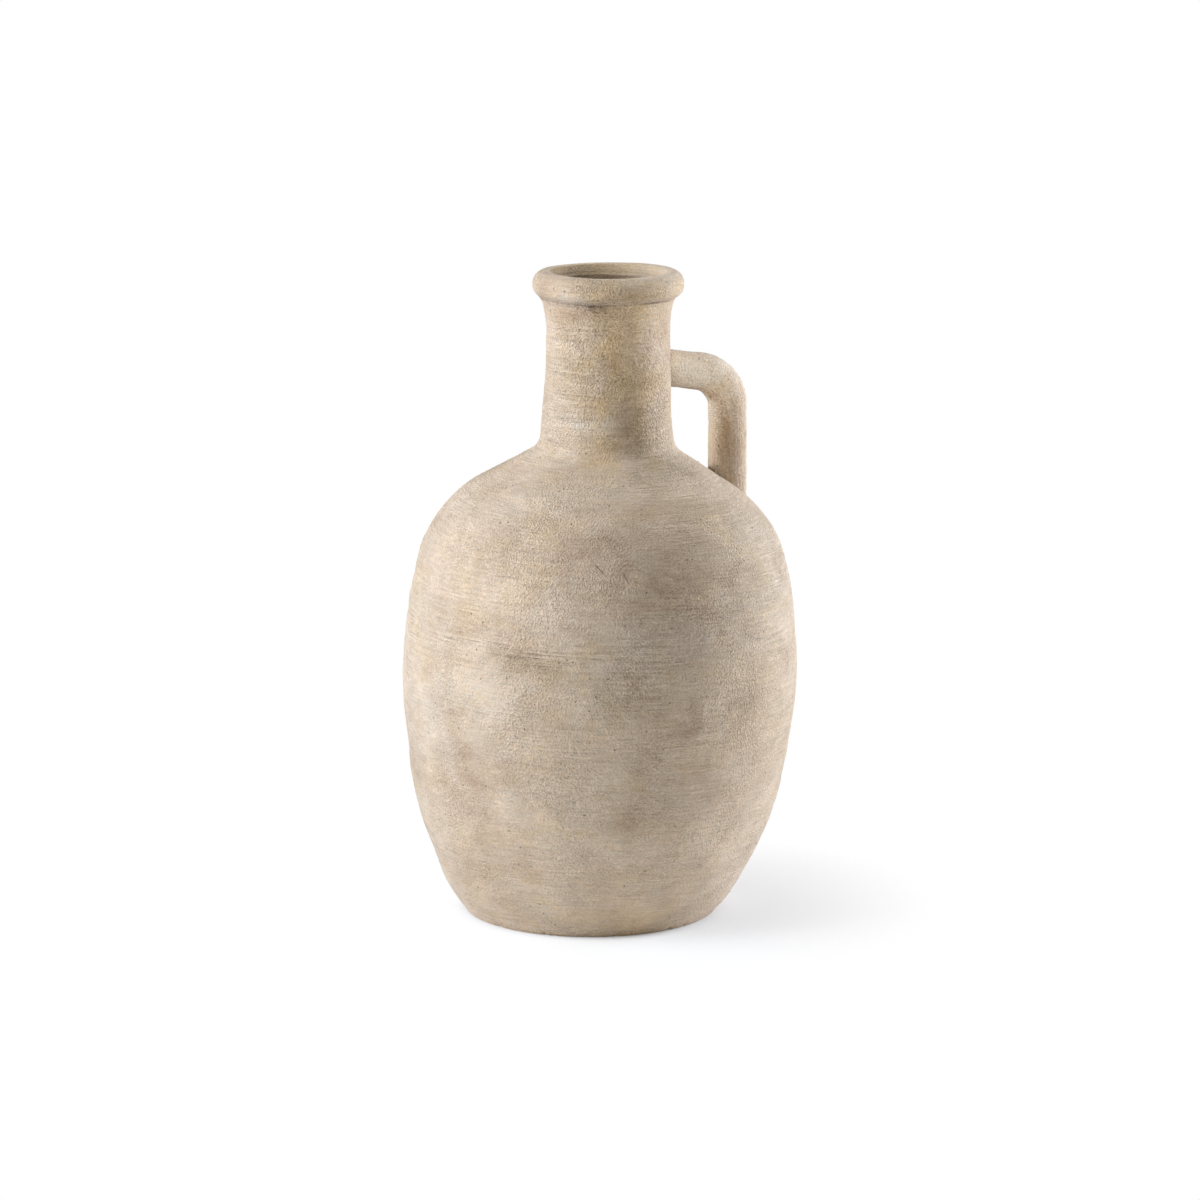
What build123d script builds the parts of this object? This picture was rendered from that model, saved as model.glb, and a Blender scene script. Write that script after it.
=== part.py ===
from build123d import *
import math
import os

# A one-handled jug vase in unglazed earthenware, built as the potter builds it: two thrown halves, a thrown
# neck, a rolled rim and a rod handle, joined with slip. Millimetres, +Z up, origin at the centre of the foot
# on the table, +X towards the handle.
# Every piece is drawn about an upright turning axis first. The jug then leans by LEAN towards the handle and
# its foot is ground flat on the table.

# Overall
HEIGHT = 400.0          # foot to the top of the rim, along the turning axis
LEAN = 1.7              # degrees that the turning axis leans towards the handle

# Body, outside
FOOT_ARC_R = 165.0      # curve of the wall above the foot
LOWER_ARC_R = 292.0     # curve of the wall below the widest radius
LOWER_ARC_TURN = 20.5   # degrees that this curve turns before the foot's curve
FOOT_BEVEL = 3.0        # bevel around the foot, which keeps the edge from chipping
BELLY_R = 122.5         # widest radius
BELLY_Z = 147.5         # height of the widest radius
BELLY_ARC_R = 318.0     # curve of the wall above the widest radius
BELLY_ARC_TURN = 13.2   # degrees that this curve turns before the shoulder
SHOULDER_ARC_R = 76.5   # curve of the shoulder
SHOULDER_SLOPE = 29.6   # degrees of the cone between shoulder and neck
NECK_FILLET_R = 12.0    # hollow curve between cone and neck

# Walls
WALL = 7.5              # wall of the body
FLOOR = 10.0            # thickness of the floor
FLOOR_ROUND = 16.0      # inside corner at the floor
THROAT_R = 31.0         # radius of the straight bore of the neck
THROAT_ROUND = 6.0      # inside edge where the bore opens into the body

# Neck
NECK_WALL = 7.1         # wall at the waist of the neck
WAIST_BELOW_RIM = 39.0  # from the top of the rim down to the waist
NECK_SPREAD = 2.6       # growth in radius from the waist down to the shoulder
LIP_SPREAD = 3.6        # growth in radius from the waist up to the lip

# Rim
RIM_W = 15.4            # width of the rolled coil, across the wall
RIM_H = 17.0            # height of the rolled coil
RIM_SKIRT = 3.0         # how far the coil hangs over the lip of the neck

# Handle
LEG_INSET = 40.1        # from the widest radius in to the corner between arm and leg, on the rod's axis
HANDLE_D = 24.0         # diameter of the rod
HANDLE_BEND_R = 20.0    # bend, on the axis of the rod
ARM_BELOW_RIM = 61.0    # from the top of the rim to the arm's axis where it leaves the neck
ARM_DROP = 7.5          # degrees that the arm falls away from the neck

# Joints
SLIP = 1.2              # thickness of the slip in a joint
SLIP_BEAD = 0.7         # how far the slip stands out around the rod of the handle
SLIP_CLEARANCE = 0.1    # keeps the handle's slip off the curved wall that it is pressed on
BELLY_JOINT_UP = 30.0   # from the widest radius up to the belly joint
BELLY_JOINT_DEPTH = 3.5  # depth of the V-groove
NECK_JOINT_UP = 16.0    # from the corner between cone and neck up to the neck joint
NECK_JOINT_BEVEL = 25.0  # degrees of the bevelled seat, which falls towards the bore

# Sizes that follow from the ones above
FOOT_BELOW = BELLY_R * math.sin(math.radians(LEAN))  # clay that the flat foot is ground from
WAIST_R = THROAT_R + NECK_WALL
WAIST_Z = HEIGHT - WAIST_BELOW_RIM
LIP_Z = HEIGHT - RIM_H + RIM_SKIRT
NECK_BASE_R = WAIST_R + NECK_SPREAD
ARM_Z = HEIGHT - ARM_BELOW_RIM
LEG_R = BELLY_R - LEG_INSET
SLOPE = math.radians(SHOULDER_SLOPE)
FAR = 2 * HEIGHT        # longer than anything in the jug


def shoulder_line(inset):
    """The edges from the belly up to the start of the cone, moved into the wall by inset."""
    belly = JernArc((BELLY_R - inset, BELLY_Z), (0, 1), BELLY_ARC_R - inset, BELLY_ARC_TURN)
    rest = 90 - SHOULDER_SLOPE - BELLY_ARC_TURN
    shoulder = JernArc(belly @ 1, belly % 1, SHOULDER_ARC_R - inset, rest)
    return belly, shoulder


def cone_height(radius):
    """Height of the outer cone of the shoulder at a radius."""
    start = shoulder_line(0)[1] @ 1
    return start.Y + (start.X - radius) * math.tan(SLOPE)


def body_fill(inset, bottom):
    """Half section of the body without the neck, filled to the turning axis."""
    centre_z = BELLY_Z - (LOWER_ARC_R - FOOT_ARC_R) * math.sin(math.radians(LOWER_ARC_TURN))
    full_turn = math.degrees(math.asin((centre_z - bottom) / (FOOT_ARC_R - inset)))
    lower = JernArc((BELLY_R - inset, BELLY_Z), (0, -1), LOWER_ARC_R - inset, -LOWER_ARC_TURN)
    foot = JernArc(lower @ 1, lower % 1, FOOT_ARC_R - inset, LOWER_ARC_TURN - full_turn)
    belly, shoulder = shoulder_line(inset)
    top = shoulder @ 1
    apex = (0, top.Y + top.X * math.tan(SLOPE))
    rest = Polyline(top, apex, (0, bottom), foot @ 1)
    return make_face([foot, lower, belly, shoulder, rest])


def neck_fill(inset, top):
    """Half section of the neck, filled to the turning axis, from inside the body up to top."""
    low = BELLY_Z
    waist = (WAIST_R - inset, WAIST_Z)
    base = (NECK_BASE_R - inset, cone_height(NECK_BASE_R))
    drop = WAIST_Z - base[1]
    base_arc = TangentArc(waist, base, tangent=(0, -1))
    lean = 2 * math.atan2(NECK_SPREAD, drop)
    skirt = (base[0] + (base[1] - low) * math.tan(lean), low)
    lip = (WAIST_R + LIP_SPREAD - inset, LIP_Z)
    lip_arc = TangentArc(waist, lip, tangent=(0, 1))
    rise = 2 * math.atan2(LIP_SPREAD, LIP_Z - WAIST_Z)
    edge = (lip[0] + (top - LIP_Z) * math.tan(rise), top)
    rest = Polyline(edge, (0, top), (0, low), skirt, base)
    lines = [base_arc, lip_arc, rest]
    if top > LIP_Z:
        lines.append(Line(lip, edge))
    return make_face(lines)


def silhouette(inset):
    """Half section of body and neck filled to the turning axis, with the hollow curve between them."""
    shape = body_fill(inset, -FOOT_BELOW) + neck_fill(inset, LIP_Z + SLIP)
    corner = shape.vertices().sort_by_distance((NECK_BASE_R - inset, cone_height(NECK_BASE_R) - inset))[0]
    return fillet(corner, NECK_FILLET_R + inset)


def cavity():
    """Half section of the hollow: the inside of the body and the bore of the neck."""
    inside = body_fill(WALL, FLOOR)
    floor_corner = inside.vertices().group_by(Axis.Y)[0].sort_by(Axis.X)[-1]
    inside = fillet(floor_corner, FLOOR_ROUND)
    bore = Pos(THROAT_R / 2, (BELLY_Z + FAR) / 2) * Rectangle(THROAT_R, FAR - BELLY_Z)
    shape = inside + bore
    top = shoulder_line(WALL)[1] @ 1
    mouth = shape.vertices().sort_by_distance((THROAT_R, top.Y + (top.X - THROAT_R) * math.tan(SLOPE)))[0]
    return fillet(mouth, THROAT_ROUND)


def above_belly_joint(lift):
    """Everything above the V-line of the belly joint, raised by lift."""
    z = BELLY_Z + BELLY_JOINT_UP
    outer = BELLY_R - BELLY_ARC_R + math.sqrt(BELLY_ARC_R ** 2 - BELLY_JOINT_UP ** 2)
    vee = [(0, z), (outer - WALL, z), (outer - WALL / 2, z - BELLY_JOINT_DEPTH), (outer, z)]
    line = Polyline(*vee, (FAR, z), (FAR, FAR), (0, FAR), close=True)
    return Pos(0, lift) * make_face(line)


def above_neck_joint(lift):
    """Everything above the bevelled seat of the neck, raised by lift."""
    middle = cone_height(NECK_BASE_R) + NECK_JOINT_UP
    rise = NECK_WALL / 2 * math.tan(math.radians(NECK_JOINT_BEVEL))
    inner = (THROAT_R, middle - rise)
    outer = (THROAT_R + 2 * NECK_WALL, middle + 3 * rise)
    line = Polyline((0, inner[1]), inner, outer, (FAR, outer[1]), (FAR, FAR), (0, FAR), close=True)
    return Pos(0, lift) * make_face(line)


def above(z):
    """Everything above a height."""
    return Pos(FAR / 2, z + FAR / 2) * Rectangle(FAR, FAR)


def turn(section):
    """A thrown piece: its half section turned about the turning axis."""
    return revolve(Plane.XZ * section, Axis.Z)


def rod(grow):
    """The bent rod of the handle from inside the neck to inside the body, grown by grow all round.

    Its leg splays by the lean, so that it stands plumb on the table.
    """
    fall = math.tan(math.radians(ARM_DROP))
    start = (THROAT_R, 0, ARM_Z + (WAIST_R - THROAT_R) * fall)
    corner = (LEG_R, 0, ARM_Z - (LEG_R - WAIST_R) * fall)
    splay = (corner[2] - BELLY_Z) * math.tan(math.radians(LEAN))
    end = (LEG_R + splay, 0, BELLY_Z)
    path = FilletPolyline(start, corner, end, radius=HANDLE_BEND_R)
    across = Plane(path @ 0, z_dir=path % 0)
    return sweep(across * Circle(HANDLE_D / 2 + grow), path=path)


# The thrown pieces, as half sections cut from one wall
wall = silhouette(0) - cavity()
over_belly = wall & above_belly_joint(SLIP)
over_neck = wall & above_neck_joint(SLIP)
roll = Pos(THROAT_R + RIM_W / 2, HEIGHT - RIM_H / 2) * SlotOverall(RIM_H, RIM_W, rotation=90)
inner_side = Pos(THROAT_R + RIM_W / 4, HEIGHT - RIM_H / 2 - RIM_H / 4) * Rectangle(RIM_W / 2, RIM_H / 2)

sections = {
    "lower_body": wall - above_belly_joint(0),
    "belly_slip": (wall & above_belly_joint(0)) - above_belly_joint(SLIP),
    "upper_body": over_belly - above_neck_joint(0),
    "neck_slip": (wall & above_neck_joint(0)) - above_neck_joint(SLIP),
    "neck": over_neck - above(LIP_Z),
    "rim_slip": over_neck & above(LIP_Z),
    "rim_roll": (roll + (inner_side & above(LIP_Z))) - wall,
}
pieces = {node: turn(section) for node, section in sections.items()}

# The handle: the rod stops short of the wall by the slip, and the slip fills the rest
seat = turn(silhouette(-SLIP_CLEARANCE))
coated = turn(silhouette(-SLIP))
pieces["handle"] = rod(0) - coated
pads = ((rod(SLIP_BEAD) & coated) - seat).solids().sort_by(Axis.Z)
pieces["handle_foot_slip"] = pads[0]
pieces["handle_top_slip"] = pads[-1]

# The lean, and the foot ground flat on the table
pieces = {node: piece.rotate(Axis.Y, LEAN) for node, piece in pieces.items()}
ground = split(pieces["lower_body"], bisect_by=Plane.XY, keep=Keep.TOP)
pieces["lower_body"] = chamfer(ground.faces().sort_by(Axis.Z)[0].edges(), FOOT_BEVEL)

os.makedirs("parts", exist_ok=True)
for node, piece in pieces.items():
    export_step(piece, f"parts/{node}.step")
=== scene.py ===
import math

import bpy
import numpy as np
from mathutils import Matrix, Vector
from mathutils.bvhtree import BVHTree


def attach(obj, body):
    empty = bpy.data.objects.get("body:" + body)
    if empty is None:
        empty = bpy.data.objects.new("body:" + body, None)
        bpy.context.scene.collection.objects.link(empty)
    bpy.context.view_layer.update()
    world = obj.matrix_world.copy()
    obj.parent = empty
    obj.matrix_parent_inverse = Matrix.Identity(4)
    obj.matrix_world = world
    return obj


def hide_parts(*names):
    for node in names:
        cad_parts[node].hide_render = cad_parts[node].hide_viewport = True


# A hand-made jug vase in unglazed earthenware, brushed with a pale wash and rubbed with brown stain.
# The CAD solids give the true sizes. The clay made here lies over them and adds what the hand leaves: walls
# that aren't quite round, throwing rings, dents, a smeared joint under the rim, grog and worn edges.
# Sizes are in millimetres along and across the turning axis, and the meshes are in metres.

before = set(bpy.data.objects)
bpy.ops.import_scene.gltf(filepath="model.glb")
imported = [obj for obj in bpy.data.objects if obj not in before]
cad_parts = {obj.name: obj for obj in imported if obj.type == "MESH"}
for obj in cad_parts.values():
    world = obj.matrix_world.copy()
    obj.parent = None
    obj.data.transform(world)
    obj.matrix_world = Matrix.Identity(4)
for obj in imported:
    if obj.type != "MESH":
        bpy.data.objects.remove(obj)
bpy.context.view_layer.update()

MM = 0.001

# Camera, fitted to the photograph's outline
IMAGE_PX = 1200
VIEW_AZIMUTH = math.radians(24.0)
VIEW_ELEVATION = math.radians(11.5)
VIEW_DISTANCE = 3.0
VIEW_FOCUS_PX = 4842.0
VIEW_SHIFT = 4.8        # from the middle of the foot to the middle of the picture
VIEW_HEIGHT = 194.6
FRONT = -math.pi / 2 - VIEW_AZIMUTH      # angle on the jug that faces the camera

# Studio, in metres
SWEEP_HALF = 2.0        # half the width of the sweep
DAYLIGHT = (0.955, 0.995, 1.08)         # colour of the soft boxes
SNOOT_DISTANCE = 1.0    # from a narrow lamp to the spot that it lights
SNOOT_R = 0.04
SHADOW_RIGHT = 0.075    # from the middle of the foot to the middle of the shadow on the sweep
SHADOW_BACK = 0.005
SHADOW_HALF = (0.19, 0.23, 1)   # half sizes of the shadow, to the right, to the back and up
FOOT_SHADOW_FULL = 0.072        # the shadow is whole up to this distance from the middle of the foot
FOOT_SHADOW_END = 0.09
COOL_FULL = 0.07        # the sweep is cool up to this distance
COOL_END = 0.2

# Sizes of the solids
HEIGHT = 400.0
LEAN = math.radians(1.7)
BELLY_R = 122.5
BELLY_Z = 147.5
FOOT_ARC_R = 165.0
LOWER_ARC_R = 292.0
LOWER_ARC_TURN = 20.5
BELLY_ARC_R = 318.0
BELLY_ARC_TURN = 13.2
SHOULDER_ARC_R = 76.5
SHOULDER_SLOPE = 29.6
NECK_FILLET_R = 12.0
WALL = 7.5
FLOOR = 10.0
FLOOR_ROUND = 16.0
THROAT_R = 31.0
THROAT_ROUND = 6.0
WAIST_R = 38.1
WAIST_Z = 361.0
NECK_LEAN = 3.8         # degrees that the neck leans in above the shoulder
NECK_ARC_R = 985.0
LIP_ARC_R = 88.6
LIP_Z = 386.0
RIM_W = 15.4
RIM_H = 17.0
LEG_R = 82.4
ROD_R = 12.0
ARM_Z = 339.0
ARM_DROP = math.radians(7.5)
BELLY_JOINT_Z = 177.5
NECK_JOINT_Z = 306.0
CREASE_BELOW_LIP = 2.6  # from the lip of the neck down to the crease under the rim

# What the hand left
FOOT_EDGE = 2.4         # worn round of the foot's edge
FOOT_LEVEL = 70.0       # the foot stands level, and the wall leans fully from here up
RIM_LEVEL = 350.0       # from here up the rim comes back to level
RIM_FROM = 362.0        # the wall passes into the rim from here
RIM_FULL = 380.0        # up to here
# How far the axis lies to the right, as the camera sees it. Each drift: from height, to height, change
FOOT_DRIFT = -0.9
DRIFTS = ((20, 65, 0.9), (80, 110, 0.4), (235, 290, -0.4), (RIM_FROM, RIM_FULL, -0.75))
NECK_DRIFT = 0.6        # on top of that, around a height
NECK_DRIFT_Z = 342.0
NECK_DRIFT_REACH = 24.0
OVAL = 0.0025           # share of the radius by which the rings aren't round
RIM_WAVE = 0.1          # rise and fall of the rim
RIM_SPREAD = 0.2        # the rim is pulled out a little
RIM_DROP = 1.1          # and its top is pressed down, from this height up
RIM_DROP_FROM = 381.0
RIM_DROP_FULL = 397.0
LIP_FALL = 10.0         # degrees that the rim's top falls towards the mouth
LIP_EDGE = 1.6          # round of the mouth's edge
FLARE = 22.0            # degrees that the throat opens out below that edge
FLARE_LENGTH = 9.0
FLARE_ROUND = 10.0      # round between this flare and the straight throat
GROOVE_SPACING = 2.6    # grooves that the fingers left in the throat
GROOVE_DEPTH = 0.09
GROOVE_CLIMB = 0.4
GROOVE_END = 397.0      # near this height they fade out
JOINT_DEPTH = 0.4       # groove that is left of the belly joint
JOINT_REACH = 1.0
SMEAR_REACH = 2.2       # reach of the smears along the outline
CHIP_REACH = 1.6        # reach of the chips along the foot's edge
CHIP_INNER_R = 70.0     # chips stay outside this radius
GROG_FROM = 10.0        # grains of grog stand out between these heights
GROG_TO = 384.0
BEND_R = 23.0           # the rod's bend
# How much thinner the hand pressed the rod on its outer side: at the neck, after the bend and at the foot
NECK_PRESS = 1.0
BEND_PRESS = 0.8
FOOT_PRESS = 0.9
BEND_EASE = 36.0        # length below the bend over which the rod is round again
FOOT_EASE = 26.0        # length above the rod's foot over which it is pressed
BEND_FILL = 1.1         # clay that the hand smoothed into the inner side of the bend
FILL_REACH = 12.0
# Where the wall swells or draws in: height, reach, amount
SWELLS = ((286, 8, 0.5), (264, 9, -0.5), (228, 18, 0.45), (150, 16, 0.3), (104, 18, -0.6), (36, 14, -0.4))
# Where one side of the wall is fuller or flatter: degrees right of the front, reach, height, reach, amount
SIDES = ((88, 50, 294, 12, 1.7), (88, 50, 325, 22, 0.9), (-90, 55, 98, 14, -0.7), (-90, 55, 36, 12, -0.5),
         (-90, 55, 260, 14, 0.7), (90, 55, 222, 12, -0.7))
# Clay smeared into the crease under the rim: degrees right of the front, reach in degrees, amount
SMEARS = ((-80, 34, 1.0), (-38, 18, 1.2), (-15, 7, 1.9), (-6, 4, 1.5), (3, 3, 1.2), (16, 6, 0.7),
          (44, 14, -0.5), (112, 22, 1.3), (160, 20, -0.3), (208, 14, 1.6), (226, 8, 1.8))
# Chips in the foot's edge: degrees right of the front, reach in degrees, depth
CHIPS = ((-46, 1.6, 0.8), (-21, 1.0, 1.0), (-17, 0.8, 0.7), (-2, 1.4, 0.5), (12, 0.9, 0.8), (38, 1.6, 1.1),
         (47, 1.0, 0.8), (96, 1.4, 1.0), (131, 1.1, 0.7), (178, 2.0, 1.1), (233, 1.3, 0.9))

# Marks of stain and wash on the pot: degrees right of the front, height, half width, half height, strength
MARKS = {
    "rose": [(-38, 377, 26, 7, 1.1), (-8, 379, 16, 6, 1.0), (-22, 322, 16, 9, 0.7), (0, 349, 10, 9, 0.9),
             (18, 367, 8, 7, 0.8), (4, 362, 22, 16, 0.6), (16, 389, 18, 6, 0.8), (-64, 390, 10, 7, 0.6),
             (-50, 371, 14, 11, 0.9), (62, 365, 12, 18, 0.7), (0, 243, 34, 11, 0.6), (30, 226, 40, 10, 0.8),
             (24, 211, 34, 7, 0.8), (-41, 190, 16, 5, 0.5), (10, 160, 14, 8, 0.6), (28, 140, 12, 8, 1.0),
             (-45, 100, 22, 14, 0.8), (-40, 78, 20, 12, 0.6), (15, 113, 12, 20, 0.7), (10, 80, 18, 8, 0.5),
             (30, 100, 40, 30, 0.25)],
    "olive": [(30, 338, 8, 16, 0.6), (30, 305, 12, 16, 0.9), (38, 282, 22, 10, 0.8), (45, 264, 26, 12, 0.5),
              (-22, 173, 18, 6, 0.75), (-15, 330, 10, 12, 0.5), (30, 6, 30, 8, 0.8), (50, 132, 24, 20, 0.4),
              (10, 335, 36, 44, 0.3), (0, 391, 60, 8, 0.3)],
    # The strong wash at (-28, 388) on the rim's front is partly a painted highlight on a band of the rim
    # that faces the light, and partly pale wash
    "wash": [(-28, 388, 17, 4, 1.5), (60, 390, 9, 7, 0.5), (-9, 311, 13, 4, 1.0), (-44, 352, 14, 6, 0.8),
             (-55, 318, 12, 10, 0.5), (-30, 289, 16, 6, 0.8), (-33, 265, 20, 10, 0.7),
             (57, 238, 22, 18, 0.6), (-35, 150, 26, 18, 0.9), (-36, 141, 14, 9, 0.5), (35, 60, 30, 14, 0.8),
             (-10, 66, 26, 12, 0.5), (-12, 20, 34, 12, 0.7), (-20, 210, 34, 12, 0.4), (0, 175, 12, 8, 0.4)],
    "ochre": [(12, 345, 28, 46, 1.5), (25, 390, 30, 9, 0.85), (-25, 396, 20, 4, 0.5),
              (40, 262, 30, 14, 0.5), (-40, 45, 30, 16, 0.6), (15, 15, 40, 12, 0.7)],
    "grey": [(-9, 311, 13, 4, 1.2), (22, 190, 30, 13, 1.0), (-20, 95, 30, 20, 0.4), (-55, 150, 30, 60, 0.3),
             (26, 394, 8, 3, 1.0), (-30, 388, 14, 4, 0.7)],
    "pitted": [(-30, 366, 12, 8, 0.8), (-8, 380, 10, 4, 1.0), (-52, 138, 14, 12, 1.0),
               (-45, 108, 14, 12, 0.8), (20, 135, 12, 8, 0.7), (2, 180, 20, 12, 0.5), (43, 96, 10, 8, 0.4)],
    "brushed": [(-30, 335, 30, 40, 0.6), (-16, 182, 64, 7, 1.4), (25, 212, 40, 6, 0.9),
                (10, 250, 50, 12, 0.6), (5, 130, 30, 8, 0.6), (-45, 205, 30, 10, 0.6)],
    "gritty": [(20, 345, 50, 50, 1.0), (0, 392, 90, 10, 0.8)],
}
# The same on the handle: distance along the rod from the neck, degrees from its outer side, half sizes
ROD_MARKS = {
    # The two long rose bands right of the middle of the leg are partly painted shade, where the rod turns
    # from the lamps, and partly brown stain; the short ones are stain
    "rose": [(76, -122, 12, 5, 1.2), (84, -112, 9, 4, 1.0), (84, -92, 36, 5, 0.7), (84, -62, 40, 6, 0.9),
             (44, -150, 8, 4, 0.4)],
    "olive": [(60, -120, 8, 5, 0.5), (70, -95, 20, 4, 0.5)],
    # The long strong wash along the leg's left side, (82, -168), is partly a painted highlight of the lit
    # edge and partly pale wash
    "wash": [(16, -110, 26, 20, 1.3), (40, -100, 16, 12, 0.7), (82, -168, 44, 7, 1.5),
             (98, -136, 14, 8, 1.0), (66, -140, 5, 4, 0.8)],
    "ochre": [(76, -130, 14, 5, 0.9), (40, -140, 14, 7, 0.4)],
    "grey": [(18, -110, 26, 18, 0.9), (82, -168, 44, 7, 0.5)],
    "pitted": [(46, -150, 12, 6, 1.0), (90, -140, 16, 5, 0.8)],
    "gritty": [(20, -130, 40, 24, 0.8), (80, -130, 40, 20, 0.5)],
}
# Scratches: degrees right of the front, height, degrees of slope, half length, half width
SCRATCHES = ((-1, 233.5, -44, 6.5, 0.6), (7, 229, -62, 5.0, 0.45), (205, 240, -35, 7, 0.5),
             (150, 120, 20, 8, 0.5), (-15, 380.6, 12, 3.2, 0.8), (-10, 379, -24, 2.6, 0.9),
             (-5, 380.3, 14, 2.2, 0.8), (-1, 378.8, 0, 1.8, 0.8), (-27, 367, 58, 1.8, 0.7),
             (-5, 351.6, 0, 1.2, 1.1))

# Mesh
COLUMNS = 520
OUTER_ROW = 1.3         # spacing of the rows on each part of the skin
CREASE_ROW = 0.7
RIM_ROW = 0.8
EDGE_ROW = 0.4
LIP_ROW = 0.5
THROAT_ROW = 1.5
INNER_ROW = 11.0
ROD_COLUMNS = 120
ROD_ROW = 0.8
ROD_BURY = 0.8          # depth of the rod's ends in the wall


def smooth(value, low, high):
    """0 below low, 1 above high and a soft rise between them."""
    share = np.clip((value - low) / (high - low), 0, 1)
    return share * share * (3 - 2 * share)


def swell(value, middle, reach):
    """A soft bump, 1 at the middle and near 0 past twice its reach."""
    return np.exp(-((value - middle) / reach) ** 2)


def around(angle):
    """The same angle between minus and plus half a turn."""
    return (angle + math.pi) % (2 * math.pi) - math.pi


def from_front(angle):
    """Degrees to the right of the side that faces the camera."""
    return np.degrees(around(angle - FRONT))


def turned(vector, angle):
    """A flat vector turned to the left."""
    cos, sin = math.cos(angle), math.sin(angle)
    return np.array((vector[0] * cos - vector[1] * sin, vector[0] * sin + vector[1] * cos))


def walk(start, heading, moves):
    """Points along a chain of arcs and straight runs, without the start.

    A move is (degrees turned to the left, radius, spacing), or (0, length, spacing) for a straight run.
    """
    points = [np.array(start, float)]
    direction = np.array(heading, float)
    for turn, reach, spacing in moves:
        angle = math.radians(turn)
        count = max(1, round(reach * (abs(angle) or 1) / spacing))
        here = points[-1]
        if turn:
            centre = here + math.copysign(reach, turn) * np.array((-direction[1], direction[0]))
            points += [centre + turned(here - centre, angle * step / count) for step in range(1, count + 1)]
            direction = turned(direction, angle)
        else:
            points += [here + direction * reach * step / count for step in range(1, count + 1)]
    return points[1:]


def outline():
    """Rows of the skin as (radius, height): underside, outer wall, rim, throat, inner wall, floor.

    Also the numbers of the row in the crease under the rim, of the rim's highest row and of its last row.
    """
    slope = math.radians(SHOULDER_SLOPE)
    shoulder_turn = 90 - SHOULDER_SLOPE - BELLY_ARC_TURN
    foot_centre = BELLY_Z - (LOWER_ARC_R - FOOT_ARC_R) * math.sin(math.radians(LOWER_ARC_TURN))

    def down(inset, bottom, edge, row):
        """From the belly to the table or the floor, then in towards the axis."""
        turn = math.degrees(math.asin((foot_centre - bottom - edge) / (FOOT_ARC_R - inset - edge)))
        moves = [(-LOWER_ARC_TURN, LOWER_ARC_R - inset, row)]
        moves += [(LOWER_ARC_TURN - turn, FOOT_ARC_R - inset, row), (turn - 90, edge, min(row, edge / 4))]
        points = walk((BELLY_R - inset, BELLY_Z), (0, -1), moves)
        return points + walk(points[-1], (-1, 0), [(0, points[-1][0] - INNER_ROW, INNER_ROW)])

    def up(inset, row):
        """From the belly to the start of the cone."""
        moves = [(BELLY_ARC_TURN, BELLY_ARC_R - inset, row), (shoulder_turn, SHOULDER_ARC_R - inset, row)]
        return walk((BELLY_R - inset, BELLY_Z), (0, 1), moves)

    outer = up(0, OUTER_ROW)
    fillet_turn = 90 - SHOULDER_SLOPE - NECK_LEAN
    lean = math.radians(NECK_LEAN)
    fillet_in = NECK_FILLET_R * (math.cos(lean) - math.sin(slope))
    neck_in = NECK_ARC_R * (1 - math.cos(lean))
    cone = (outer[-1][0] - WAIST_R - fillet_in - neck_in) / math.cos(slope)
    crease_turn = math.degrees(math.asin((LIP_Z - CREASE_BELOW_LIP - WAIST_Z) / LIP_ARC_R))
    moves = [(0, cone, OUTER_ROW), (-fillet_turn, NECK_FILLET_R, OUTER_ROW)]
    moves.append((-NECK_LEAN, NECK_ARC_R, OUTER_ROW))
    outer += walk(outer[-1], (-math.cos(slope), math.sin(slope)), moves)
    outer += walk(outer[-1], (0, 1), [(-crease_turn, LIP_ARC_R, CREASE_ROW)])

    roll = RIM_W / 2
    roll_angle = math.asin((outer[-1][0] - THROAT_R - roll) / roll)
    fall = math.sin(math.radians(LIP_FALL))
    steep = math.cos(math.radians(FLARE))
    flare_in = FLARE_LENGTH * math.sin(math.radians(FLARE)) + FLARE_ROUND * (1 - steep)
    flare_in += LIP_EDGE * (steep - fall)
    top = (roll - flare_in) / fall
    moves = [(90 - math.degrees(roll_angle), roll, LIP_ROW), (0, RIM_H - RIM_W, RIM_ROW)]
    moves += [(90, roll, RIM_ROW), (LIP_FALL, top, RIM_ROW), (90 - LIP_FALL - FLARE, LIP_EDGE, EDGE_ROW)]
    moves += [(0, FLARE_LENGTH, LIP_ROW), (FLARE, FLARE_ROUND, LIP_ROW)]
    rim = walk(outer[-1], (math.cos(roll_angle), math.sin(roll_angle)), moves)

    inner = up(WALL, INNER_ROW)
    cone = (inner[-1][0] - THROAT_R - THROAT_ROUND * (1 - math.sin(slope))) / math.cos(slope)
    moves = [(0, cone, INNER_ROW), (SHOULDER_SLOPE - 90, THROAT_ROUND, THROAT_ROW)]
    inner += walk(inner[-1], (-math.cos(slope), math.sin(slope)), moves)
    moves = [(0, LIP_Z - inner[-1][1], THROAT_ROW), (0, rim[-1][1] - LIP_Z, LIP_ROW)]
    inner += walk(inner[-1], (0, 1), moves)

    belly = [np.array((BELLY_R, BELLY_Z))]
    inner_belly = [np.array((BELLY_R - WALL, BELLY_Z))]
    wall = down(0, 0, FOOT_EDGE, OUTER_ROW)[::-1] + belly + outer
    lining = inner[-2::-1] + inner_belly + down(WALL, FLOOR, FLOOR_ROUND, INNER_ROW)
    crest = len(wall) + int(np.argmax([point[1] for point in rim]))
    return np.array(wall + rim + lining), len(wall) - 1, crest, len(wall) + len(rim) - 1


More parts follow.
